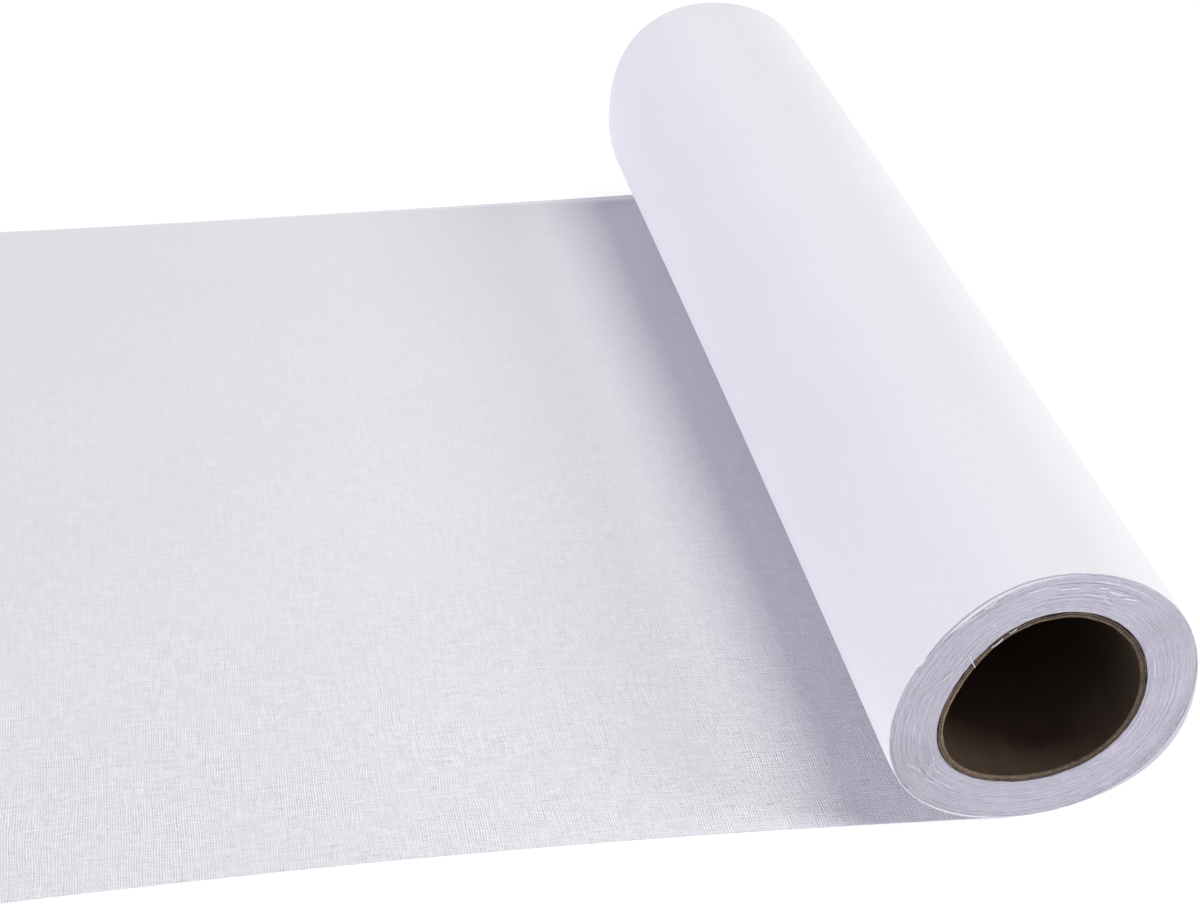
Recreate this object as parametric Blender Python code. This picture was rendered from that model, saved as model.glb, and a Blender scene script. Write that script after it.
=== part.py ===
"""A roll of fusible interfacing on a paper tube, with its loose end pulled out flat.

The roll lies along Y. X = 0 is under the middle of the roll, and the loose length runs towards -X.
Z = 0 is the surface that it lies on.
"""
import math

import bpy

MM = 0.001

# Driving sizes
CLOTH_WIDTH = 305 * MM
ROLL_RADIUS = 35.75 * MM
TUBE_OUTER_RADIUS = 24.35 * MM
TUBE_WALL = 1.4 * MM
TUBE_RISE = 0.7 * MM
LOOSE_LENGTH = 250 * MM
SHEET_THICKNESS = 1.0 * MM
FLAT_SPOT_DEPTH = 0.35 * MM
PIECE_GAP = 0.3 * MM

# How far the sections are out of round. Columns: lobes round the section, size as a share of the
# radius, direction of a lobe in degrees from +X towards +Z.
ROLL_LOBES = ((2, 0.013, 118), (3, 0.016, 96))
TUBE_LOBES = ((2, 0.025, 90), (3, 0.028, 90))

# The loose length drifts a little sideways as it leaves the roll. Each edge is a shallow arc:
# its offset at the roll, its drift for each metre and its curvature for each square metre.
NEAR_EDGE = {"offset": 0.0 * MM, "drift": 0.0745, "curve": -0.218}
FAR_EDGE = {"offset": 4.2 * MM, "drift": -0.0285, "curve": 0.0685}

SECTION_STEPS = 144
EDGE_STEPS = 20

COLOURS = {
    "wound_cloth": (0.84, 0.83, 0.87, 1.0),
    "loose_length": (0.82, 0.82, 0.84, 1.0),
    "core_tube": (0.20, 0.16, 0.12, 1.0),
}
ROUGHNESS = {"wound_cloth": 0.92, "loose_length": 0.92, "core_tube": 0.8}


def clear_scene():
    """Remove every object of the scene that the file opens with."""
    for obj in list(bpy.data.objects):
        bpy.data.objects.remove(obj, do_unlink=True)


def make_material(name):
    """A plain matt surface in the piece's own colour."""
    material = bpy.data.materials.new(name)
    material.use_nodes = True
    shader = material.node_tree.nodes["Principled BSDF"]
    shader.inputs["Base Color"].default_value = COLOURS[name]
    shader.inputs["Roughness"].default_value = ROUGHNESS[name]
    shader.inputs["Metallic"].default_value = 0.0
    return material


def section_radius(mean_radius, lobes, angle):
    """Radius of a section that is slightly out of round, at an angle in radians."""
    swell = sum(
        size * math.cos(count * (angle - math.radians(direction)))
        for count, size, direction in lobes
    )
    return mean_radius * (1 + swell)


def section_outline(mean_radius, lobes, centre_height, offset=0.0):
    """Points (x, z) round a section, cut level where it would reach below the surface."""
    points = []
    for step in range(SECTION_STEPS):
        angle = 2 * math.pi * step / SECTION_STEPS
        radius = section_radius(mean_radius, lobes, angle) + offset
        height = centre_height + radius * math.sin(angle)
        points.append((radius * math.cos(angle), max(height, 0.0)))
    return points


def roll_centre_height():
    """Height of the roll's middle, with the roll pressed into its small flat spot."""
    return section_radius(ROLL_RADIUS, ROLL_LOBES, -math.pi / 2) - FLAT_SPOT_DEPTH


def foot_reach(height):
    """How far the roll reaches towards -X from its middle at a small height over the surface."""
    outline = section_outline(ROLL_RADIUS, ROLL_LOBES, roll_centre_height())
    lower_left = [(x, z) for x, z in outline if x < 0 and z < ROLL_RADIUS]
    for (x0, z0), (x1, z1) in zip(lower_left, lower_left[1:]):
        if z0 >= height > z1:
            return -(x1 + (x0 - x1) * (height - z1) / (z0 - z1))
    raise ValueError("the height is outside the roll's lower half")


def edge_place(edge, distance):
    """How far an edge of the loose length lies towards +Y, at a distance from the roll's middle."""
    return edge["offset"] + edge["drift"] * distance + edge["curve"] * distance ** 2


def outline_object(name, loops, half_depth, collection):
    """A filled flat outline of closed loops, extruded by half its depth to each side."""
    curve = bpy.data.curves.new(name, "CURVE")
    curve.dimensions = "2D"
    curve.fill_mode = "BOTH"
    curve.extrude = half_depth
    for loop in loops:
        spline = curve.splines.new("POLY")
        spline.points.add(len(loop) - 1)
        spline.use_cyclic_u = True
        for point, (across, up) in zip(spline.points, loop):
            point.co = (across, up, 0.0, 1.0)
    obj = bpy.data.objects.new(name, curve)
    obj.data.materials.append(make_material(name))
    collection.objects.link(obj)
    return obj


def make_core_tube(collection):
    """The paper tube in the middle of the roll, open at both ends."""
    centre = roll_centre_height() + TUBE_RISE
    outer = section_outline(TUBE_OUTER_RADIUS, TUBE_LOBES, centre)
    inner = section_outline(TUBE_OUTER_RADIUS, TUBE_LOBES, centre, -TUBE_WALL)
    tube = outline_object("core_tube", (outer, inner), CLOTH_WIDTH / 2, collection)
    tube.rotation_euler = (math.pi / 2, 0.0, 0.0)
    return tube


def make_wound_cloth(collection):
    """All the turns of cloth on the tube, as one wound form with a small flat spot."""
    centre = roll_centre_height()
    outer = section_outline(ROLL_RADIUS, ROLL_LOBES, centre)
    inner = section_outline(TUBE_OUTER_RADIUS, TUBE_LOBES, centre + TUBE_RISE, PIECE_GAP)
    cloth = outline_object("wound_cloth", (outer, inner), CLOTH_WIDTH / 2, collection)
    cloth.rotation_euler = (math.pi / 2, 0.0, 0.0)
    return cloth


def make_loose_length(collection):
    """The flat end of the cloth, from the roll's foot to a plain straight cut."""
    start = foot_reach(SHEET_THICKNESS) + PIECE_GAP
    distances = [start + (LOOSE_LENGTH - start) * i / EDGE_STEPS for i in range(EDGE_STEPS + 1)]
    near = [(-d, -CLOTH_WIDTH / 2 + edge_place(NEAR_EDGE, d)) for d in distances]
    far = [(-d, CLOTH_WIDTH / 2 + edge_place(FAR_EDGE, d)) for d in distances]
    outline = near + far[::-1]
    sheet = outline_object("loose_length", (outline,), SHEET_THICKNESS / 2, collection)
    sheet.location = (0.0, 0.0, SHEET_THICKNESS / 2)
    return sheet


def main():
    clear_scene()
    collection = bpy.data.collections.new("interfacing_roll")
    bpy.context.scene.collection.children.link(collection)
    make_core_tube(collection)
    make_wound_cloth(collection)
    make_loose_length(collection)


main()
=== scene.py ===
# %% [markdown]
# # A roll of fusible interfacing
#
# Interfacing is a thin, open, plain-woven cloth with glue dots too small to see. It is sold wound
# on a paper tube. Here the roll lies on its side, with its loose end pulled out flat to the left.
# This lesson cuts the cloth flat, rolls it up turn by turn on its tube, weaves its surface in a
# material, and lights it like a white studio table.

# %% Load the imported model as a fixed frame
import math
import random

import bpy
from mathutils import Matrix, Vector, noise


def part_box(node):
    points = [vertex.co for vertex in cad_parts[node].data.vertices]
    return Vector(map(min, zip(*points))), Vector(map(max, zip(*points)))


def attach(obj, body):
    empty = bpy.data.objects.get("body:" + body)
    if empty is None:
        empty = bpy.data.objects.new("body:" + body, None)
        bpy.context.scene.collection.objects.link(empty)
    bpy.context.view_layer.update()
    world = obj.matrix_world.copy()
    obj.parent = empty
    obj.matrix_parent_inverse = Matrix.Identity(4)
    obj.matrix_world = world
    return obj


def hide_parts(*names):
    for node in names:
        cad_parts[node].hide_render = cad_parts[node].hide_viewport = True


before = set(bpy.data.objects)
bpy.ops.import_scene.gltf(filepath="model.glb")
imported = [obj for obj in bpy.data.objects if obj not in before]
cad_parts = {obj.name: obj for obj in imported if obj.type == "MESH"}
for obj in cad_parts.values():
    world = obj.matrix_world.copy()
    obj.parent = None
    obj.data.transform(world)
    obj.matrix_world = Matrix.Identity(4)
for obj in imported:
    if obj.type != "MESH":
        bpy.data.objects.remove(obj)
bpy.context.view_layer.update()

bpy.ops.object.select_all(action="DESELECT")

# %% [markdown]
# ## The camera first
#
# The photograph was taken from high on the left of the roll's near end, with a lens of about
# 60 mm. The roll's two outlines, its round end and the edges of the flat cloth all had to fit one
# camera, and that fixed its place. The picture is a crop, so the lens is shifted a little.

# %% Camera
CAMERA_PLACE = Vector((-0.18225, -0.45708, 0.33145))
CAMERA_AZIMUTH = math.radians(-10.91)
CAMERA_ELEVATION = math.radians(38.08)
CAMERA_ROLL = math.radians(2.16)
CAMERA_LENS = 60.39
CAMERA_SHIFT = (0.0833, 0.09)


def camera_turn(azimuth, elevation, roll):
    """The camera's turn: azimuth 0 looks along +Y, and roll leans its right side up."""
    back = Vector((
        math.sin(azimuth) * math.cos(elevation),
        -math.cos(azimuth) * math.cos(elevation),
        math.sin(elevation),
    ))
    right = Vector((0, 0, 1)).cross(back).normalized()
    up = back.cross(right)
    leaned_right = right * math.cos(roll) + up * math.sin(roll)
    leaned_up = up * math.cos(roll) - right * math.sin(roll)
    return Matrix((leaned_right, leaned_up, back)).transposed()


bpy.ops.object.camera_add(location=CAMERA_PLACE)
camera = bpy.context.object
camera.name = "photo_camera"
camera.rotation_euler = camera_turn(CAMERA_AZIMUTH, CAMERA_ELEVATION, CAMERA_ROLL).to_euler()
camera.data.sensor_width = 36.0
camera.data.lens = CAMERA_LENS
camera.data.shift_x, camera.data.shift_y = CAMERA_SHIFT
camera.data.clip_start = 0.01
bpy.context.scene.camera = camera
print("camera lens:", camera.data.lens, "mm")

# %% [markdown]
# ## The sizes of the roll
#
# The cloth's width comes from the frame. The other sizes are the ones that the roll was built to:
# a tube that is slightly out of round, and a roll whose ends are each a little different, because
# a soft roll takes a set wherever it was last held or laid.

# %% Sizes
MM = 0.001
cloth_low, cloth_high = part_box("wound_cloth")
CLOTH_WIDTH = cloth_high.y - cloth_low.y
NEAR_END, FAR_END = cloth_low.y, cloth_high.y
ROLL_MIDDLE = (NEAR_END + FAR_END) / 2
LOOSE_LENGTH = -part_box("loose_length")[0].x
ROLL_CENTRE = 35.12 * MM
TUBE_OUTER_RADIUS = 24.43 * MM
TUBE_WALL = 1.4 * MM
TUBE_CENTRE = ROLL_CENTRE + 0.7 * MM
TUBE_CLEARANCE = 0.2 * MM
CLOTH_THICKNESS = 0.24 * MM
TURNS = 40
OUTER_TURNS = 2
# The cloth lies loose beyond this distance from the roll's middle, and no higher than this.
LOOSE_FROM = 20 * MM
LOOSE_HEIGHT = 2 * MM

# Sections of the roll. Columns: place along it (0 near, 1 far), mean radius in mm, and its lobes.
# Columns of a lobe: how many there are round the section, size in mm, direction in degrees.
ROLL_SECTIONS = (
    (0.0, 36.16, ((1, 0.47, 76), (2, 0.34, -84), (3, 0.66, -27), (4, 0.24, 30))),
    (0.5, 35.80, ((1, 0.71, 38), (2, 0.65, 89), (3, 0.36, -18), (4, 0.42, 40))),
    (1.0, 35.43, ((1, 0.39, 125), (2, 0.83, -88), (3, 0.32, 4), (4, 0.67, 43))),
)
TUBE_LOBES = ((1, 0.32, 116), (2, 0.61, 81), (3, 0.73, -27), (4, 0.22, 30))

# The edges of the loose length. Columns: offset at the roll, drift for each metre, curvature.
NEAR_EDGE = (0.0 * MM, 0.0745, -0.218)
FAR_EDGE = (3.8 * MM, -0.0285, 0.0685)

print("cloth width", round(CLOTH_WIDTH, 4), "loose length", round(LOOSE_LENGTH, 4))

# %% [markdown]
# ## Where the cloth goes
#
# A turn of cloth lies somewhere between the tube's outline and the roll's outline. So each point
# of the winding is found by walking round both outlines at one angle, and stepping a share of the
# way from one to the other. The share falls evenly along the cloth, which makes the spiral.

# %% Outlines of the tube and the roll


def swell(lobes, angle):
    """How far a section stands out from a true circle."""
    return MM * sum(
        size * math.cos(count * (angle - math.radians(direction)))
        for count, size, direction in lobes
    )


def tube_point(angle, clearance=0.0):
    """A point (x, z) of the tube's outline, with a clearance round it."""
    radius = TUBE_OUTER_RADIUS + swell(TUBE_LOBES, angle) + clearance
    return Vector((radius * math.cos(angle), TUBE_CENTRE + radius * math.sin(angle)))


def roll_point(angle, section, inset=0.0):
    """A point (x, z) of the roll's outline. It is level where the roll presses on the table."""
    mean_radius, lobes = section[1:]
    radius = mean_radius * MM + swell(lobes, angle) - inset
    return Vector((radius * math.cos(angle), max(ROLL_CENTRE + radius * math.sin(angle), 0.0)))


def winding_point(wound, section, inset=0.0):
    """Where the cloth's outer face is after it has wound on by an angle from the roll's foot."""
    share = 1 - wound / (2 * math.pi * TURNS)
    angle = wound - math.pi / 2
    inner = tube_point(angle, TUBE_CLEARANCE)
    return inner + (roll_point(angle, section, inset) - inner) * share


print("top of the roll", round(roll_point(math.pi / 2, ROLL_SECTIONS[0]).y / MM, 2), "mm high")

# %% [markdown]
# ## The cut edges
#
# No two turns end quite level, and that is what draws the fine rings on the end of a roll. The
# edge wanders slowly along each turn and shivers a little where single threads end, and a few
# neighbouring turns stand proud or low together. The last turns are looser: here and there they
# stand a millimetre proud of the end, or stop short of it.

# %% Edges of the cloth
EDGE_WANDER = 0.14 * MM
EDGE_SHIVER = 0.09 * MM
EDGE_GROUPS = 0.17 * MM
# Swings of the slow and the quick noise for each radian wound.
SLOW_RATE, QUICK_RATE = 2.3, 13.0
# Groups of neighbouring turns: how quickly they change round the roll and from turn to turn.
GROUP_ROUND, GROUP_INWARDS = 1.3, 0.45
NEAR_SEED, FAR_SEED = 1.7, 8.3
# The cloth's slant at the roll's foot has settled after winding on by this angle.
SETTLE_ANGLE = 2.2
# Columns: turn (0 is the outermost), direction and half width in degrees, how far proud in mm.
LOOSE_EDGES = (
    (0, -26, 52, 1.60),
    (1, -26, 44, 0.35),
    (2, -24, 36, 0.15),
    (0, 112, 36, -0.65),
    (1, 112, 34, -0.50),
    (0, 152, 5, 0.45),
    (0, 226, 66, 0.40),
    (2, 128, 16, 0.30),
    (4, 130, 20, -0.35),
    (7, 70, 30, 0.30),
)


def window(value, centre, half_width):
    """A smooth bump that is 1 at its centre and 0 beyond its half width."""
    away = abs(value - centre) / half_width
    return math.cos(away * math.pi / 2) ** 2 if away < 1 else 0.0


def edge_wander(wound, seed):
    """How far a wound edge stands out of the roll's end."""
    slow = noise.noise(Vector((wound * SLOW_RATE, seed, 0.0)))
    quick = noise.noise(Vector((wound * QUICK_RATE, seed, 5.0)))
    turn = wound / (2 * math.pi)
    group = noise.noise(Vector((
        GROUP_ROUND * math.cos(wound), GROUP_ROUND * math.sin(wound), turn * GROUP_INWARDS + seed
    )))
    return EDGE_WANDER * slow + EDGE_SHIVER * quick + EDGE_GROUPS * group


def wound_edges(wound):
    """The cloth's near and far edges on the roll, as places along Y."""
    proud = sum(
        size * MM * window(wound, 2 * math.pi * turn + math.radians(direction + 90),
                           math.radians(half_width))
        for turn, direction, half_width, size in LOOSE_EDGES
    )
    near = NEAR_END + edge_wander(wound, NEAR_SEED) - proud
    settle = max(0.0, 1 - wound / SETTLE_ANGLE) ** 2
    far = FAR_END - edge_wander(wound, FAR_SEED) + FAR_EDGE[0] * settle
    return near, far


def loose_edge(edge, distance):
    """How far an edge of the loose length lies towards +Y, at a distance from the roll."""
    offset, drift, curve = edge
    return offset + drift * distance + curve * distance ** 2


# %% [markdown]
# ## Rolling up a flat cut
#
# The cloth is one long flat cut. A flat grid stands for it: its columns are stations along the
# cloth, and its rows run across. Every station knows where it ends up at the near end and at the
# far end of the roll, so the grid is rolled up by moving its points there. The UV map keeps the
# flat cut's own metres, so the weave follows the cloth round every turn.

# %% Stations along the cloth
END_ROUNDING = 0.30 * MM
END_REACH = 6.0 * MM


def loose_stations(steps):
    """Stations of the flat part, from the cut end to the roll's foot."""
    made = []
    for i in range(steps):
        distance = LOOSE_LENGTH * (1 - i / steps)
        near = NEAR_END + loose_edge(NEAR_EDGE, distance)
        far = FAR_END + loose_edge(FAR_EDGE, distance)
        made.append({"x": -distance, "near": near, "far": far, "wound": None})
    return made


def wound_stations(first_turn, last_turn, steps_a_turn):
    """Stations of the wound part, from one turn to another, counted from the outside."""
    made = []
    count = round((last_turn - first_turn) * steps_a_turn)
    for i in range(count + 1):
        wound = 2 * math.pi * (first_turn + i / steps_a_turn)
        near, far = wound_edges(wound)
        made.append({"near": near, "far": far, "wound": wound})
    return made


def place_at(station, share):
    """Where a point of the cloth goes: its station, and its share of the way across."""
    y = station["near"] + (station["far"] - station["near"]) * share
    if station["wound"] is None:
        return Vector((station["x"], y, 0.0))
    from_end = min(share, 1 - share) * CLOTH_WIDTH
    inset = END_ROUNDING * max(0.0, 1 - from_end / END_REACH) ** 2
    # One smooth curve goes through the near, middle and far sections.
    weights = ((1 - share) * (1 - 2 * share), 4 * share * (1 - share), share * (2 * share - 1))
    x = z = 0.0
    for weight, section in zip(weights, ROLL_SECTIONS):
        point = winding_point(station["wound"], section, inset)
        x, z = x + weight * point.x, z + weight * point.y
    return Vector((x, y, max(z, 0.0)))


def measure(stations, start=0.0):
    """Gives each station its place along the flat cut, in metres."""
    travelled = start
    before = None
    for station in stations:
        middle = place_at(station, 0.5)
        if before is not None:
            travelled += Vector((middle.x - before.x, 0, middle.z - before.z)).length
        station["along"] = travelled
        before = middle
    return travelled


# %% Rolling up the grid


def roll_up(name, stations, rows, lift=None):
    """A strip of cloth on its stations: its outer face, with the flat cut as its UV map."""
    bpy.ops.object.select_all(action="DESELECT")
    bpy.ops.mesh.primitive_grid_add(
        x_subdivisions=len(stations) - 1, y_subdivisions=len(rows) - 1, size=1.0
    )
    strip = bpy.context.object
    strip.name = name
    mesh = strip.data
    mesh.name = name
    column = [round((v.co.x + 0.5) * (len(stations) - 1)) for v in mesh.vertices]
    across = [rows[round((v.co.y + 0.5) * (len(rows) - 1))] for v in mesh.vertices]
    for vertex, i, share in zip(mesh.vertices, column, across):
        place = place_at(stations[i], share)
        if lift is not None and stations[i]["wound"] is None:
            place.z += lift(place)
        vertex.co = place
    flat_cut = mesh.uv_layers.active
    flat_cut.name = "flat_cut"
    for corner in mesh.loops:
        i, share = column[corner.vertex_index], across[corner.vertex_index]
        flat_cut.uv[corner.index].vector = (stations[i]["along"], share * CLOTH_WIDTH)
    bpy.ops.object.mode_set(mode="EDIT")
    bpy.ops.mesh.select_all(action="SELECT")
    bpy.ops.mesh.flip_normals()
    bpy.ops.object.mode_set(mode="OBJECT")
    return strip


def thicken(strip, thickness, loose_share=1.0):
    """Gives the cloth its thickness, inside its outer face, and less where it lies loose."""
    wound_part = strip.vertex_groups.new(name="wound")
    for vertex in strip.data.vertices:
        wound = vertex.co.x > -LOOSE_FROM or vertex.co.z > LOOSE_HEIGHT
        wound_part.add([vertex.index], 1.0 if wound else loose_share, "REPLACE")
    modifier = strip.modifiers.new("thickness", "SOLIDIFY")
    modifier.thickness = thickness
    modifier.offset = -1.0
    modifier.vertex_group = wound_part.name
    bpy.context.view_layer.objects.active = strip
    bpy.ops.object.modifier_apply(modifier="thickness")
    bpy.ops.object.shade_smooth_by_angle(angle=math.radians(40))
    strip.vertex_groups.clear()
    strip.select_set(False)
    print(strip.name, "faces", len(strip.data.polygons))


# %% [markdown]
# ## The loose length and the outer turns
#
# The visible cloth is one strip: the flat length on the table, and the two outermost turns of the
# roll. It needs many rows, because the flat part isn't quite flat: it lifts by a fraction of a
# millimetre in long soft waves.

# %% Loose length and outer turns
LOOSE_STEPS = 90
OUTER_STEPS_A_TURN = 180
LIFT_HEIGHT = 0.35 * MM
LIFT_RUN_IN = 50 * MM
MIDDLE_GAPS = 23
END_ROWS = [distance * MM / CLOTH_WIDTH for distance in (0.0, 0.8, 1.8, 3.2, 5.0, 8.0, 12.0, 18.0)]
MIDDLE_ROWS = [
    END_ROWS[-1] + (1 - 2 * END_ROWS[-1]) * i / MIDDLE_GAPS for i in range(1, MIDDLE_GAPS)
]
OUTER_ROWS = END_ROWS + MIDDLE_ROWS + [1 - row for row in reversed(END_ROWS)]


def soft_waves(place):
    """How far the loose cloth lifts off the table in long soft waves."""
    away = min(1.0, max(0.0, (-place.x - LOOSE_FROM) / LIFT_RUN_IN))
    wave = noise.noise(Vector((place.x * 14, place.y * 9, 3.1)))
    return LIFT_HEIGHT * away * max(0.0, wave + 0.15)


loose_part = loose_stations(LOOSE_STEPS)
outer_part = wound_stations(0, OUTER_TURNS, OUTER_STEPS_A_TURN)
outer_stations = loose_part + outer_part
outer_length = measure(outer_stations)
outer_cloth = roll_up("interfacing_outer_cloth", outer_stations, OUTER_ROWS, soft_waves)

# %% [markdown]
# The loose length is a single layer, so its gaps look dark. On the roll the gaps show the white
# turn beneath. An attribute says how many layers back each point, and the material reads it.

# %% Layers behind the cloth
FOOT_FADE = 8 * MM


def mark_layers(strip, backing_at):
    """Stores, at every point, 0 for a single layer and 1 where other turns lie beneath."""
    layers = strip.data.attributes.new("layers_beneath", "FLOAT", "POINT")
    for vertex, value in zip(strip.data.vertices, layers.data):
        value.value = backing_at(vertex.co)


def outer_backing(place):
    """The roll backs its own turns. Along the foot the change is soft."""
    if place.z > LOOSE_HEIGHT or place.x > 0:
        return 1.0
    return max(0.0, 1 + place.x / FOOT_FADE)


mark_layers(outer_cloth, outer_backing)
thicken(outer_cloth, CLOTH_THICKNESS, loose_share=0.5)

# %% [markdown]
# ## The turns inside
#
# Everything under the two outer turns shows only at the roll's ends, as fine rings. So this strip
# needs few rows, but many stations, because the rings must be round and their edges uneven.

# %% Inner turns
INNER_STEPS_A_TURN = 160
INNER_ROWS = [0.0, 0.02, 0.5, 0.98, 1.0]
LAST_TURN = TURNS - 0.02
inner_stations = wound_stations(OUTER_TURNS, LAST_TURN, INNER_STEPS_A_TURN)
inner_length = measure(inner_stations, outer_length) - outer_length
inner_turns = roll_up("interfacing_inner_turns", inner_stations, INNER_ROWS)
mark_layers(inner_turns, lambda place: 1.0)
thicken(inner_turns, CLOTH_THICKNESS)
print("cloth length:", round(outer_length + inner_length, 2), "m")

# %% [markdown]
# ## The paper tube
#
# The tube is wound from a few plies of grey-brown board. Its end is a saw cut, so the plies show
# as thin rings. A circle is drawn out into the tube by extruding and scaling, as on a lathe, and
# then squeezed out of round like the real one.

# %% A ring that can be drawn out
TUBE_STEPS = 160
PLIES = 4
PLY_STEP = 0.10 * MM
START_DEPTH = 1 * MM


def draw_ring(radius, y):
    """Extrudes the selected ring to a new radius and place along the tube."""
    global ring_radius, ring_y
    bpy.ops.mesh.extrude_region_move(TRANSFORM_OT_translate={"value": (0, y - ring_y, 0)})
    factor = radius / ring_radius
    bpy.ops.transform.resize(value=(factor, 1, factor), center_override=(0, y, 0))
    ring_radius, ring_y = radius, y


# %% Paper tube
bpy.ops.object.select_all(action="DESELECT")
ring_radius, ring_y = TUBE_OUTER_RADIUS, NEAR_END + START_DEPTH
bpy.ops.mesh.primitive_circle_add(
    vertices=TUBE_STEPS, radius=ring_radius, fill_type="NOTHING",
    location=(0, ring_y, 0), rotation=(math.pi / 2, 0, 0),
)
paper_tube = bpy.context.object
paper_tube.name = "paper_tube"
bpy.ops.object.transform_apply(location=True, rotation=True, scale=True)
bpy.ops.object.mode_set(mode="EDIT")
bpy.ops.mesh.select_all(action="SELECT")
tube_inner_radius = TUBE_OUTER_RADIUS - TUBE_WALL
draw_ring(TUBE_OUTER_RADIUS, FAR_END)
for ply in range(1, PLIES + 1):
    radius = TUBE_OUTER_RADIUS - TUBE_WALL * ply / PLIES
    level = FAR_END + (PLY_STEP if ply % 2 else 0.0)
    draw_ring(radius, ring_y)
    if ply < PLIES:
        draw_ring(radius, level)
draw_ring(tube_inner_radius, NEAR_END)
for ply in range(1, PLIES + 1):
    radius = tube_inner_radius + TUBE_WALL * ply / PLIES
    level = NEAR_END - (PLY_STEP if ply % 2 else 0.0)
    draw_ring(radius, ring_y)
    if ply < PLIES:
        draw_ring(radius, level)
draw_ring(TUBE_OUTER_RADIUS, NEAR_END + START_DEPTH)
bpy.ops.mesh.select_all(action="SELECT")
bpy.ops.mesh.remove_doubles(threshold=0.00001)
bpy.ops.mesh.normals_make_consistent(inside=False)
bpy.ops.object.mode_set(mode="OBJECT")

# %% [markdown]
# The real tube is squeezed out of round, and the saw leaves its ends a little dented, with each
# ply ragged. An attribute keeps how deep in the board each point lies, so that the material can
# draw the plies.

# %% Squeezing the tube
END_ZONE = 0.5 * MM
DENT_DEPTH = 0.25 * MM
RAGGED_RADIUS = 0.07 * MM
RAGGED_LENGTH = 0.12 * MM
depths = paper_tube.data.attributes.new("ply_depth", "FLOAT", "POINT")
for vertex, depth in zip(paper_tube.data.vertices, depths.data):
    angle = math.atan2(vertex.co.z, vertex.co.x)
    radius = math.hypot(vertex.co.x, vertex.co.z)
    depth.value = (TUBE_OUTER_RADIUS - radius) / TUBE_WALL
    squeezed = radius + swell(TUBE_LOBES, angle)
    if abs(vertex.co.y - ROLL_MIDDLE) > CLOTH_WIDTH / 2 - END_ZONE:
        round_about = Vector((math.cos(angle) * 4, math.sin(angle) * 4, 6.0))
        squeezed -= max(0.0, noise.noise(round_about) + 0.1) * DENT_DEPTH
        squeezed += noise.noise(Vector((angle * 12, radius * 4000, 9.0))) * RAGGED_RADIUS
        vertex.co.y += noise.noise(Vector((angle * 9, radius * 4000, 2.0))) * RAGGED_LENGTH
    vertex.co.x = squeezed * math.cos(angle)
    vertex.co.z = TUBE_CENTRE + squeezed * math.sin(angle)
bpy.ops.object.shade_smooth_by_angle(angle=math.radians(35))
paper_tube.select_set(False)
print("paper tube faces", len(paper_tube.data.polygons))

# %% [markdown]
# ## Stray threads
#
# A cut end always sheds a little. Warp ends lie loose on the roll's near end, one crosses the end
# of the tube, low on the left there is a net of fine ones, and short fibres stand out round the
# cut. Each is a thin round tube through a few points.

# %% Where the stray threads lie
# Columns: radius in mm and direction in degrees at the start, the same at the end, and thickness
# in mm.
STRAY_THREADS = (
    (35.15, 137, 34.95, 126, 0.24),
    (35.45, 123, 35.95, 118, 0.28),
    (32.60, 75, 32.35, 67, 0.28),
    (31.60, 69, 32.20, 62, 0.28),
    (30.55, 76, 29.70, 71, 0.24),
    (31.50, 78, 30.90, 74, 0.20),
    (33.40, 80, 33.60, 76, 0.20),
    (33.60, 96, 33.30, 88, 0.20),
    (34.60, 108, 34.90, 100, 0.20),
    (31.80, 99, 31.50, 93, 0.16),
    (27.60, 112, 27.20, 106, 0.16),
    (29.70, -176, 29.40, -170, 0.14),
    (26.60, -152, 27.60, -146, 0.15),
    (29.00, -150, 28.40, -143, 0.14),
    (31.40, -153, 30.60, -146, 0.14),
    (32.60, -150, 32.00, -144, 0.14),
    (28.90, -131, 28.20, -126, 0.14),
    (27.20, 158, 26.60, 150, 0.20),
    (25.60, 24, 25.30, 13, 0.26),
    (34.80, -8, 34.60, -12, 0.24),
    (26.60, 140, 22.75, 144, 0.24),
    (24.35, 130, 24.95, 123, 0.26),
    (25.55, 119, 25.85, 115, 0.16),
    (27.60, -150, 28.60, -146, 0.13),
    (30.20, -150, 31.30, -147, 0.13),
    (32.30, -155, 31.20, -149, 0.13),
    (29.40, -146, 30.60, -142, 0.13),
    (33.40, -149, 32.70, -143, 0.13),
    (27.90, -144, 27.20, -138, 0.13),
    (31.00, -143, 30.20, -137, 0.13),
    (29.20, -139, 30.20, -134, 0.13),
    (31.60, 84, 31.20, 78, 0.16),
    (33.00, 72, 32.60, 66, 0.16),
    (30.80, 68, 31.20, 63, 0.16),
)

# %% Laying a thread


def lay_thread(points, thickness):
    """One thread as a round tube through its points."""
    curve = bpy.data.curves.new("stray_thread", "CURVE")
    curve.dimensions = "3D"
    curve.bevel_depth = thickness / 2
    curve.bevel_resolution = 1
    curve.use_fill_caps = True
    spline = curve.splines.new("POLY")
    spline.points.add(len(points) - 1)
    for spline_point, point in zip(spline.points, points):
        spline_point.co = (*point, 1.0)
    thread = bpy.data.objects.new("stray_thread", curve)
    bpy.context.collection.objects.link(thread)
    thread.select_set(True)
    bpy.context.view_layer.objects.active = thread


def on_the_end(radius, direction, proud):
    """A point on the roll's near end, from its polar place in mm and degrees."""
    angle = math.radians(direction)
    return Vector((radius * MM * math.cos(angle), NEAR_END - proud,
                   ROLL_CENTRE + radius * MM * math.sin(angle)))


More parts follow.
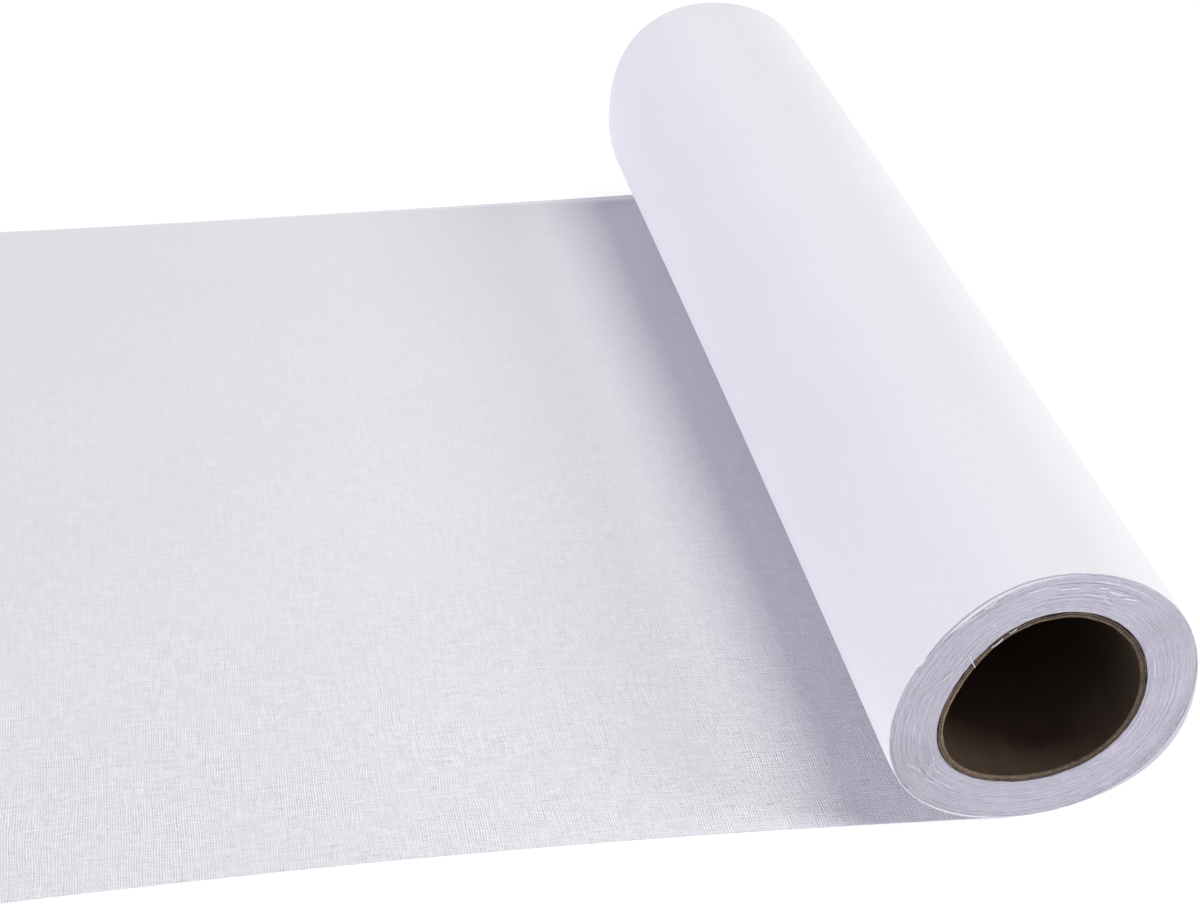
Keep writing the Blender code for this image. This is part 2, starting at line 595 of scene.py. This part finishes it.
# %% Stray threads
THREAD_STEPS = 8
FIBRES = 90
FIBRE_THICKNESS = 0.07 * MM
chance = random.Random(11)
bpy.ops.object.select_all(action="DESELECT")
for start_radius, start, end_radius, end, thickness in STRAY_THREADS:
    points = []
    for i in range(THREAD_STEPS + 1):
        share = i / THREAD_STEPS
        radius = start_radius + (end_radius - start_radius) * share + chance.uniform(-0.06, 0.06)
        proud = 0.22 * MM + 0.25 * MM * math.sin(math.pi * share)
        points.append(on_the_end(radius, start + (end - start) * share, proud))
    lay_thread(points, thickness * MM)
for i in range(FIBRES):
    direction = chance.uniform(-60, 235)
    wound = 2 * math.pi + math.radians(direction + 90)
    root = winding_point(wound, ROLL_SECTIONS[0], 0.3 * MM)
    lean = Vector(
        (chance.uniform(-0.5, 0.5), -chance.uniform(0.3, 0.9), chance.uniform(-0.2, 0.5))
    )
    root = Vector((root.x, NEAR_END + 0.1 * MM, root.y))
    middle = root + lean * 0.5 * MM + Vector((0, 0, chance.uniform(-0.05, 0.1))) * MM
    lay_thread([root, middle, root + lean * MM], FIBRE_THICKNESS)
bpy.ops.object.convert(target="MESH")
bpy.ops.object.join()
stray_threads = bpy.context.object
stray_threads.name = "stray_threads"
bpy.ops.object.transform_apply(location=True, rotation=True, scale=True)
bpy.ops.object.mode_set(mode="EDIT")
bpy.ops.mesh.select_all(action="SELECT")
bpy.ops.mesh.remove_doubles(threshold=0.000001)
bpy.ops.mesh.normals_make_consistent(inside=False)
bpy.ops.object.mode_set(mode="OBJECT")
bpy.ops.object.shade_smooth_by_angle(angle=math.radians(60))
stray_threads.select_set(False)
print("stray threads faces", len(stray_threads.data.polygons))

# %% [markdown]
# ## A small kit for materials
#
# Each material is a tree of nodes. These helpers add a node, join it up and hand back its output,
# so a pattern can be written as a sum.

# %% Node helpers


def new_material(name):
    """An empty Principled material."""
    material = bpy.data.materials.new(name)
    material.use_nodes = True
    return material, material.node_tree, material.node_tree.nodes["Principled BSDF"]


def feed(tree, socket, value):
    """Joins a socket to another node's output, or sets it to a number."""
    if isinstance(value, bpy.types.NodeSocket):
        tree.links.new(value, socket)
    else:
        socket.default_value = value


def reckon(tree, operation, *values):
    """One Math node on one, two or three values."""
    node = tree.nodes.new("ShaderNodeMath")
    node.operation = operation
    for socket, value in zip(node.inputs, values):
        feed(tree, socket, value)
    return node.outputs[0]


def cloudy(tree, vector, scale, detail=2.0, roughness=0.5):
    """Soft noise from 0 to 1."""
    node = tree.nodes.new("ShaderNodeTexNoise")
    feed(tree, node.inputs["Vector"], vector)
    node.inputs["Scale"].default_value = scale
    node.inputs["Detail"].default_value = detail
    node.inputs["Roughness"].default_value = roughness
    return node.outputs["Fac"]


def join_xyz(tree, x, y, z=0.0):
    """One vector from its parts."""
    node = tree.nodes.new("ShaderNodeCombineXYZ")
    for socket, value in zip(node.inputs, (x, y, z)):
        feed(tree, socket, value)
    return node.outputs[0]


def between(tree, low, high, value, low_to, high_to):
    """Value carried from one range to another, held at the ends."""
    node = tree.nodes.new("ShaderNodeMapRange")
    for socket, number in zip(node.inputs, (value, low, high, low_to, high_to)):
        feed(tree, socket, number)
    return node.outputs[0]


def blend_numbers(tree, share, first, second):
    """One number between two."""
    node = tree.nodes.new("ShaderNodeMix")
    for socket, value in zip(node.inputs, (share, None, first, second)):
        if value is not None:
            feed(tree, socket, value)
    return node.outputs["Result"]


def blend_colours(tree, share, first, second):
    """One colour between two."""
    node = tree.nodes.new("ShaderNodeMix")
    node.data_type = "RGBA"
    feed(tree, node.inputs["Factor"], share)
    feed(tree, node.inputs["A"], first)
    feed(tree, node.inputs["B"], second)
    return node.outputs["Result"]


def shade_by(tree, colour, share):
    """A colour made lighter or darker."""
    node = tree.nodes.new("ShaderNodeVectorMath")
    node.operation = "SCALE"
    feed(tree, node.inputs[0], colour)
    feed(tree, node.inputs["Scale"], share)
    return node.outputs[0]


# %% [markdown]
# ## The weave
#
# Forty-two threads to the inch cross over and under each other, 0.6 mm apart. Cotton yarn is
# uneven: single threads are thicker, thinner, lighter or out of line for a few millimetres, and
# that is what the eye sees from a step away. The pattern of the threads swings evenly about zero,
# so from far off it melts into one plain tone, as it does on the real cloth.

# %% Threads and where they lie
THREAD_PITCH = 0.6 * MM
THREAD_BEND = 1.6 * MM
BUNDLE_SHIFT = 0.5 * MM


def swing(tree, place, pitch):
    """Swings from 1 on each thread to -1 between two."""
    return reckon(tree, "COSINE", reckon(tree, "MULTIPLY", place, 2 * math.pi / pitch))


def streaky(tree, along, across, along_size, across_size, detail=1.0):
    """Noise that is long one way and short the other. Sizes are in metres."""
    stretched = join_xyz(tree, reckon(tree, "MULTIPLY", along, 1 / along_size),
                         reckon(tree, "MULTIPLY", across, 1 / across_size))
    return cloudy(tree, stretched, 1.0, detail)


def thread_places(tree, along, across):
    """Places counted across the weft and the warp: softly bent, with small bundles shifted."""
    places = []
    for way, other in ((along, across), (across, along)):
        bend = streaky(tree, way, other, 30 * MM, 22 * MM)
        bundle = streaky(tree, way, other, 1.4 * MM, 9 * MM)
        place = reckon(tree, "MULTIPLY_ADD", bend, THREAD_BEND, way)
        places.append(reckon(tree, "MULTIPLY_ADD", bundle, BUNDLE_SHIFT, place))
    return places


# %% [markdown]
# Every thread swells and thins, and whole patches of the cloth are slack or tight. Here and there
# a single thread is thick enough to show as a short pale or dark dash, mostly along the cloth.

# %% Uneven yarn
# How much each part of the pattern lightens or darkens the cloth.
WEFT_TONE = 0.12
WARP_TONE = 0.08
CROSSING_TONE = 0.06
PORE_TONE = 0.09
DASH_EDGE = 0.12


def thread_pattern(tree, along, across, weft_place, warp_place):
    """The tone of the threads, their crossings and the gaps between them."""
    weft, warp = swing(tree, weft_place, THREAD_PITCH), swing(tree, warp_place, THREAD_PITCH)
    crossing = reckon(tree, "MULTIPLY", weft, warp)
    patches = cloudy(tree, join_xyz(tree, along, across, 2.0), 60.0, 2.0)
    slack = between(tree, 0.35, 0.65, patches, 0.55, 1.35)
    weft_yarn = streaky(tree, along, across, 0.6 * MM, 4.5 * MM)
    warp_yarn = streaky(tree, across, along, 0.6 * MM, 4 * MM)
    weft_size = reckon(tree, "MULTIPLY", between(tree, 0.3, 0.7, weft_yarn, 0.3, 1.7), slack)
    warp_size = reckon(tree, "MULTIPLY", between(tree, 0.3, 0.7, warp_yarn, 0.3, 1.7), slack)
    gaps = streaky(tree, along, across, 0.5 * MM, 0.5 * MM)
    pattern = reckon(tree, "MULTIPLY", between(tree, 0.25, 0.75, gaps, -1.0, 1.0), PORE_TONE)
    for part, size, tone in (
        (weft, weft_size, WEFT_TONE), (warp, warp_size, WARP_TONE),
        (crossing, slack, CROSSING_TONE),
    ):
        sized = reckon(tree, "MULTIPLY", part, size)
        pattern = reckon(tree, "MULTIPLY_ADD", sized, tone, pattern)
    return pattern


def thick_threads(tree, along, across):
    """Short pale and dark dashes."""
    elsewhere = reckon(tree, "ADD", along, 5.0)
    dashes = 0.0
    for thin_way, long_way, width, length, starts, tone in (
        (across, along, 0.9 * MM, 6 * MM, 0.62, 0.07),
        (across, elsewhere, 0.8 * MM, 4 * MM, 0.62, -0.11),
        (along, across, 0.9 * MM, 6 * MM, 0.66, 0.06),
    ):
        streaks = streaky(tree, thin_way, long_way, width, length)
        dash = between(tree, starts, starts + DASH_EDGE, streaks, 0.0, 1.0)
        dashes = reckon(tree, "MULTIPLY_ADD", dash, tone, dashes)
    return dashes


# %% [markdown]
# Slubs are the fat places in cotton yarn. They are larger than a thread, in loose groups, so they
# still show where the single threads have melted away. On the roll they are only a fine grain.

# %% Slubs
SLUB_LENGTH = 5.5 * MM
SLUB_WIDTH = 1.15 * MM
GRAIN_SIZE = 3 * MM
# On the loose length and on the roll.
SLUB_TONES = (0.035, 0.009)
CLOUD_TONE = 0.010


def slubs(tree, along, across, backed):
    """The tone of the slubs, which fade towards the far edge."""
    clumps = cloudy(tree, join_xyz(tree, along, across, 7.0), 45.0, 2.0)
    both_ways = []
    for long_way, thin_way in ((along, across), (across, along)):
        streaks = streaky(tree, long_way, thin_way, SLUB_LENGTH, SLUB_WIDTH, 2.0)
        both_ways.append(between(tree, 0.36, 0.64, streaks, -1.0, 1.0))
    slub = reckon(tree, "MULTIPLY", reckon(tree, "ADD", *both_ways),
                  between(tree, 0.36, 0.64, clumps, 0.45, 1.0))
    grain = streaky(tree, along, across, GRAIN_SIZE, GRAIN_SIZE, 2.0)
    slub = blend_numbers(tree, backed, slub, between(tree, 0.3, 0.7, grain, -1.0, 1.0))
    strength = reckon(tree, "MULTIPLY", between(tree, 0.0, 1.0, backed, *SLUB_TONES),
                      between(tree, 0.05, 0.30, across, 1.0, 0.25))
    return reckon(tree, "MULTIPLY", slub, strength)


def clouds(tree, along, across):
    """Wide soft patches that are hardly lighter or darker."""
    patches = cloudy(tree, join_xyz(tree, along, across, 4.0), 18.0, 3.0)
    return between(tree, 0.3, 0.7, patches, -CLOUD_TONE, CLOUD_TONE)


# %% [markdown]
# Light is lost between the turns, so the cut edges on the roll's ends are painted greyer than the
# cloth, as painted shade, with dashes where single threads end; the end also has painted shade on
# its left. An edge that stands proud of the others, and the single layer behind it, catch the
# light:
# there the painted shade is lifted and a painted highlight is added.

# %% Cut edges
CUT_BAND = 0.1 * MM
# Cloth standing proud of the end between these depths loses its painted shade and gains a painted
# highlight.
PROUD_FROM = 0.17 * MM
PROUD_TO = 0.42 * MM
PROUD_SHADE_LIFT = 0.95


def cut_edges(tree, along, across, backed):
    """Three shares: where the cut is, its tone, and how far the cloth stands proud there."""
    coordinates = tree.nodes.new("ShaderNodeTexCoord").outputs["Object"]
    place = tree.nodes.new("ShaderNodeSeparateXYZ")
    tree.links.new(coordinates, place.inputs[0])
    from_middle = reckon(tree, "ABSOLUTE",
                         reckon(tree, "SUBTRACT", place.outputs["Y"], ROLL_MIDDLE))
    proud = between(tree, CLOTH_WIDTH / 2 + PROUD_FROM, CLOTH_WIDTH / 2 + PROUD_TO, from_middle,
                    0.0, 1.0)
    level = reckon(tree, "MULTIPLY_ADD", proud, -PROUD_SHADE_LIFT, 1.0)
    at_cut = reckon(tree, "MAXIMUM", between(tree, 0.0, CUT_BAND, across, 1.0, 0.0),
                    between(tree, CLOTH_WIDTH - CUT_BAND, CLOTH_WIDTH, across, 0.0, 1.0))
    at_cut = reckon(tree, "MULTIPLY", at_cut, reckon(tree, "MULTIPLY", backed, level))
    thread_ends = streaky(tree, along, across, 2.6 * MM, 5 * MM, 3.0)
    smudges = cloudy(tree, coordinates, 130.0, 2.0)
    tone = between(tree, 0.3, 0.7, thread_ends, 0.89, 1.10)
    for part in (
        between(tree, 0.3, 0.7, smudges, -0.04, 0.04),
        # Painted shade: the end is darker on its left side and lighter on its right.
        between(tree, -ROLL_CENTRE, ROLL_CENTRE, place.outputs["X"], -0.055, 0.03),
        between(tree, 0.68, 0.76, thread_ends, 0.0, 0.12),
    ):
        tone = reckon(tree, "ADD", tone, part)
    return at_cut, tone, proud


# %% [markdown]
# The roll's own turns show white through its gaps, so its weave is faint. The yarn is also more
# even towards the far edge. Beside the roll, in its shadow, the light comes from one side only, so
# there the weave's contrast is painted stronger, as painted shade in every gap.

# %% Weave material
CLOTH_COLOUR = (0.86, 0.853, 0.885, 1.0)
# Painted shade: the cut edges are greyer, for the light lost between the turns.
CUT_SHADE_COLOUR = (0.735, 0.708, 0.803, 1.0)
SINGLE_LAYER_SHADE = 0.96
ROLL_WEAVE = 0.035
# Columns: from and to across the cloth in metres, and what is left of the pattern beyond.
EVEN_YARN = ((0.02, 0.12, 0.22), (0.12, 0.28, 0.20))
# Where the painted gap shade begins and where it is strongest, as distances from the roll's
# middle.
BESIDE_ROLL = (0.078, 0.055)
GAP_SHADE_CONTRAST = 1.4
PROUD_HIGHLIGHT = 0.09
OVER_HEIGHT = 0.25
WEAVE_BUMP = 0.08 * MM


def make_weave():
    """Plain weave with uneven yarn: strong on a single layer, and faint on the white roll."""
    material, tree, shader = new_material("interfacing_weave")
    uv = tree.nodes.new("ShaderNodeUVMap")
    uv.uv_map = "flat_cut"
    parts = tree.nodes.new("ShaderNodeSeparateXYZ")
    tree.links.new(uv.outputs[0], parts.inputs[0])
    along, across = parts.outputs["X"], parts.outputs["Y"]
    layers = tree.nodes.new("ShaderNodeAttribute")
    layers.attribute_name = "layers_beneath"
    backed = layers.outputs["Fac"]

    strength = between(tree, 0.0, 1.0, backed, 1.0, ROLL_WEAVE)
    for start, end, left in EVEN_YARN:
        strength = reckon(tree, "MULTIPLY", strength, between(tree, start, end, across, 1.0, left))
    # Painted shade: in the roll's shadow the weave's contrast is made stronger.
    gap_shade = between(tree, LOOSE_LENGTH - BESIDE_ROLL[0], LOOSE_LENGTH - BESIDE_ROLL[1], along,
                     1.0, GAP_SHADE_CONTRAST)
    strength = reckon(tree, "MULTIPLY", strength, gap_shade)

    weft_place, warp_place = thread_places(tree, along, across)
    pattern = thread_pattern(tree, along, across, weft_place, warp_place)
    dashes = thick_threads(tree, along, across)
    tone = reckon(tree, "MULTIPLY", reckon(tree, "ADD", pattern, dashes), strength)
    for part in (slubs(tree, along, across, backed), clouds(tree, along, across), 1.0):
        tone = reckon(tree, "ADD", tone, part)
    tone = reckon(tree, "MULTIPLY", tone, between(tree, 0.0, 1.0, backed, SINGLE_LAYER_SHADE, 1.0))

    at_cut, cut_tone, proud = cut_edges(tree, along, across, backed)
    # Painted highlight: cloth standing proud of the end is made paler.
    tone = reckon(tree, "MULTIPLY_ADD", proud, PROUD_HIGHLIGHT, tone)
    tone = blend_numbers(tree, at_cut, tone, cut_tone)
    colour = blend_colours(tree, at_cut, CLOTH_COLOUR, CUT_SHADE_COLOUR)
    tree.links.new(shade_by(tree, colour, tone), shader.inputs["Base Color"])
    shader.inputs["Roughness"].default_value = 0.9
    shader.inputs["Specular IOR Level"].default_value = 0.15

    # Over and under: at each crossing this product says which thread is on top.
    over = reckon(tree, "MULTIPLY", swing(tree, weft_place, 2 * THREAD_PITCH),
                  swing(tree, warp_place, 2 * THREAD_PITCH))
    height = reckon(tree, "MULTIPLY_ADD", over, OVER_HEIGHT, pattern)
    bump = tree.nodes.new("ShaderNodeBump")
    bump.inputs["Strength"].default_value = 0.35
    bump.inputs["Distance"].default_value = WEAVE_BUMP
    feed(tree, bump.inputs["Height"], reckon(tree, "MULTIPLY", height, strength))
    tree.links.new(bump.outputs[0], shader.inputs["Normal"])
    return material


weave = make_weave()
for strip in (outer_cloth, inner_turns):
    strip.data.materials.clear()
    strip.data.materials.append(weave)
print("weave nodes:", len(weave.node_tree.nodes))

# %% [markdown]
# ## The board of the tube
#
# Recycled board is a speckled grey-brown. The saw cut shows the plies as pale and dark rings with
# a thin dark seam, and has painted shade towards the right. The wall inside is darker and browner;
# its foot is painted paler, as painted light falling in, though less so at the mouth, and its
# right side has painted shade.

# %% Board material
BOARD_DARK = (0.050, 0.033, 0.020, 1.0)
BOARD_BROWN = (0.074, 0.050, 0.031, 1.0)
# The plies on the saw cut, from the outside in. Columns: depth where each begins, and its colour.
# The first, darkest ring is the board's dark liner, and partly painted shade of the gap to the
# cloth.
PLY_COLOURS = (
    (0.0, (0.040, 0.027, 0.022, 1.0)),
    (0.10, (0.225, 0.165, 0.125, 1.0)),
    (0.56, (0.31, 0.225, 0.155, 1.0)),
)
PLY_SEAM = 0.52
PLY_BLUR = 0.04
SEAM_FROM, SEAM_TO = 0.03, 0.09
SEAM_SHADE = 0.5
CUT_ZONE = 0.3 * MM
MOUTH_DEPTH = 14 * MM
# Painted light on the wall's foot: deep in the tube, and at the mouth.
FOOT_PAINTED_LIGHT, MOUTH_PAINTED_LIGHT = 3.0, 1.1


def make_board():
    """Speckled board: its plies as rings on the saw cut, and a dark wall inside."""
    material, tree, shader = new_material("tube_board")
    coordinates = tree.nodes.new("ShaderNodeTexCoord")
    place = coordinates.outputs["Object"]
    parts = tree.nodes.new("ShaderNodeSeparateXYZ")
    tree.links.new(place, parts.inputs[0])
    x, y, z = parts.outputs
    speckle = cloudy(tree, place, 1500.0, 3.0)
    fibre = cloudy(tree, join_xyz(tree, reckon(tree, "MULTIPLY", x, 300.0),
                                  reckon(tree, "MULTIPLY", y, 60.0),
                                  reckon(tree, "MULTIPLY", z, 300.0)), 1.0, 3.0)

    depth = tree.nodes.new("ShaderNodeAttribute")
    depth.attribute_name = "ply_depth"
    wander = between(tree, 0.3, 0.7, cloudy(tree, place, 190.0, 3.0), -0.24, 0.24)
    ragged_depth = reckon(tree, "ADD", depth.outputs["Fac"], wander)
    cut = PLY_COLOURS[0][1]
    for begins, ply_colour in PLY_COLOURS[1:]:
        deep_enough = between(tree, begins - PLY_BLUR, begins + PLY_BLUR, ragged_depth, 0.0, 1.0)
        cut = blend_colours(tree, deep_enough, cut, ply_colour)
    seam = reckon(tree, "ABSOLUTE", reckon(tree, "SUBTRACT", ragged_depth, PLY_SEAM))
    for shade in (
        between(tree, 0.3, 0.7, speckle, 0.65, 1.35),
        # Painted shade: the saw cut darkens towards the right.
        between(tree, -TUBE_OUTER_RADIUS, 0.6 * TUBE_OUTER_RADIUS, x, 0.9, 0.55),
        between(tree, SEAM_FROM, SEAM_TO, seam, SEAM_SHADE, 1.0),
    ):
        cut = shade_by(tree, cut, shade)

    wall = blend_colours(tree, fibre, BOARD_DARK, BOARD_BROWN)
    from_middle = reckon(tree, "ABSOLUTE", reckon(tree, "SUBTRACT", y, ROLL_MIDDLE))
    foot = TUBE_CENTRE - TUBE_OUTER_RADIUS
    # Painted light: the wall's foot is painted paler, as if light fell in, less so at the mouth.
    painted_light_at_foot = between(tree, CLOTH_WIDTH / 2 - MOUTH_DEPTH, CLOTH_WIDTH / 2, from_middle,
                         FOOT_PAINTED_LIGHT, MOUTH_PAINTED_LIGHT)
    painted_light = between(tree, foot, foot + 0.7 * TUBE_OUTER_RADIUS, z, painted_light_at_foot, 1.0)
    # Painted shade: the wall darkens towards the right.
    painted_wall_shade = between(tree, 0.0, TUBE_OUTER_RADIUS, x, 1.0, 0.65)
    wall = shade_by(tree, wall, reckon(tree, "MULTIPLY", painted_light, painted_wall_shade))

    at_end = between(tree, CLOTH_WIDTH / 2 - END_ZONE, CLOTH_WIDTH / 2 - CUT_ZONE,
                     from_middle, 0.0, 1.0)
    tree.links.new(blend_colours(tree, at_end, wall, cut), shader.inputs["Base Color"])
    shader.inputs["Roughness"].default_value = 0.85
    shader.inputs["Specular IOR Level"].default_value = 0.25
    bump = tree.nodes.new("ShaderNodeBump")
    bump.inputs["Strength"].default_value = 0.4
    bump.inputs["Distance"].default_value = 0.1 * MM
    feed(tree, bump.inputs["Height"], speckle)
    tree.links.new(bump.outputs[0], shader.inputs["Normal"])
    return material


paper_tube.data.materials.clear()
paper_tube.data.materials.append(make_board())

# %% Thread material


def make_thread():
    """Plain white cotton, a little uneven."""
    material, tree, shader = new_material("stray_cotton")
    coordinates = tree.nodes.new("ShaderNodeTexCoord")
    uneven = cloudy(tree, coordinates.outputs["Object"], 900.0, 2.0)
    colour = shade_by(tree, CLOTH_COLOUR[:3], between(tree, 0.3, 0.7, uneven, 0.94, 1.05))
    tree.links.new(colour, shader.inputs["Base Color"])
    shader.inputs["Roughness"].default_value = 0.9
    shader.inputs["Specular IOR Level"].default_value = 0.15
    return material


stray_threads.data.materials.clear()
stray_threads.data.materials.append(make_thread())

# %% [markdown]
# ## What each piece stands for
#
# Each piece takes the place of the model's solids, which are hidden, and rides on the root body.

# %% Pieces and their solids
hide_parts("loose_length")
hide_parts("wound_cloth")
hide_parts("core_tube")
for piece, slot_name in (
    (outer_cloth, "interfacing"), (inner_turns, "interfacing"), (paper_tube, "paper_tube"),
    (stray_threads, "interfacing"),
):
    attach(piece, "root")

# %% [markdown]
# ## Table and light
#
# The photograph is a cut-out on white, so the table is white and glows a little. A soft key light
# hangs nearly overhead, a little to the right, and a weaker one stands lower on that side. A wide
# low fill from the left lights the roll's left side but barely touches the flat cloth, so the
# roll's shadow stays.

# %% White table
TABLE_SIZE = 12.0
TABLE_DROP = 0.1 * MM
TABLE_GREY = 0.30
TABLE_GLOW = 0.80
bpy.ops.mesh.primitive_plane_add(size=TABLE_SIZE, location=(0, 0, -TABLE_DROP))
table = bpy.context.object
table.name = "white_table"
table_material, _, table_shader = new_material("white_table")
table_shader.inputs["Base Color"].default_value = (TABLE_GREY, TABLE_GREY, TABLE_GREY, 1.0)
table_shader.inputs["Roughness"].default_value = 1.0
table_shader.inputs["Specular IOR Level"].default_value = 0.0
table_shader.inputs["Emission Color"].default_value = (1.0, 1.0, 1.0, 1.0)
table_shader.inputs["Emission Strength"].default_value = TABLE_GLOW
table.data.materials.append(table_material)
table.select_set(False)

# %% Lights
# Columns: name, azimuth and elevation it shines from, distance, width, height, watts, colour.
LIGHTS = (
    ("key", -12, 76, 3.0, 1.40, 1.40, 45.2, (0.979, 1.0, 0.882)),
    ("left_fill", 180, 11, 3.0, 2.4, 0.5, 39.3, (0.925, 0.899, 1.0)),
    ("right_fill", -20, 42, 3.0, 1.4, 1.2, 29.6, (1.0, 0.983, 1.0)),
)


def add_light(name, azimuth, elevation, distance, width, height, watts, colour):
    """A soft box that shines on the roll's middle. Azimuth 0 is +X and 90 is +Y."""
    azimuth, elevation = math.radians(azimuth), math.radians(elevation)
    away = Vector((
        math.cos(azimuth) * math.cos(elevation),
        math.sin(azimuth) * math.cos(elevation),
        math.sin(elevation),
    ))
    bpy.ops.object.light_add(type="AREA", location=away * distance)
    lamp = bpy.context.object
    lamp.name = name
    lamp.rotation_euler = away.to_track_quat("Z", "Y").to_euler()
    lamp.data.shape = "RECTANGLE"
    lamp.data.size, lamp.data.size_y = width, height
    lamp.data.energy = watts
    lamp.data.color = colour
    return lamp


for row in LIGHTS:
    add_light(*row)
print("lights:", [row[0] for row in LIGHTS])

# %% Studio walls
WALL_COLOUR = (0.8, 0.8, 0.8, 1.0)
SKY_COLOUR = (0.201, 0.192, 0.262, 1.0)
world = bpy.data.worlds.new("studio")
world.use_nodes = True
world_tree = world.node_tree
direction = world_tree.nodes.new("ShaderNodeTexCoord").outputs["Generated"]
direction_parts = world_tree.nodes.new("ShaderNodeSeparateXYZ")
world_tree.links.new(direction, direction_parts.inputs[0])
upward = between(world_tree, 0.02, 0.16, direction_parts.outputs["Z"], 0.0, 1.0)
walls = blend_colours(world_tree, upward, WALL_COLOUR, SKY_COLOUR)
world_tree.links.new(walls, world_tree.nodes["Background"].inputs["Color"])
bpy.context.scene.world = world
bpy.context.scene.view_settings.view_transform = "Standard"
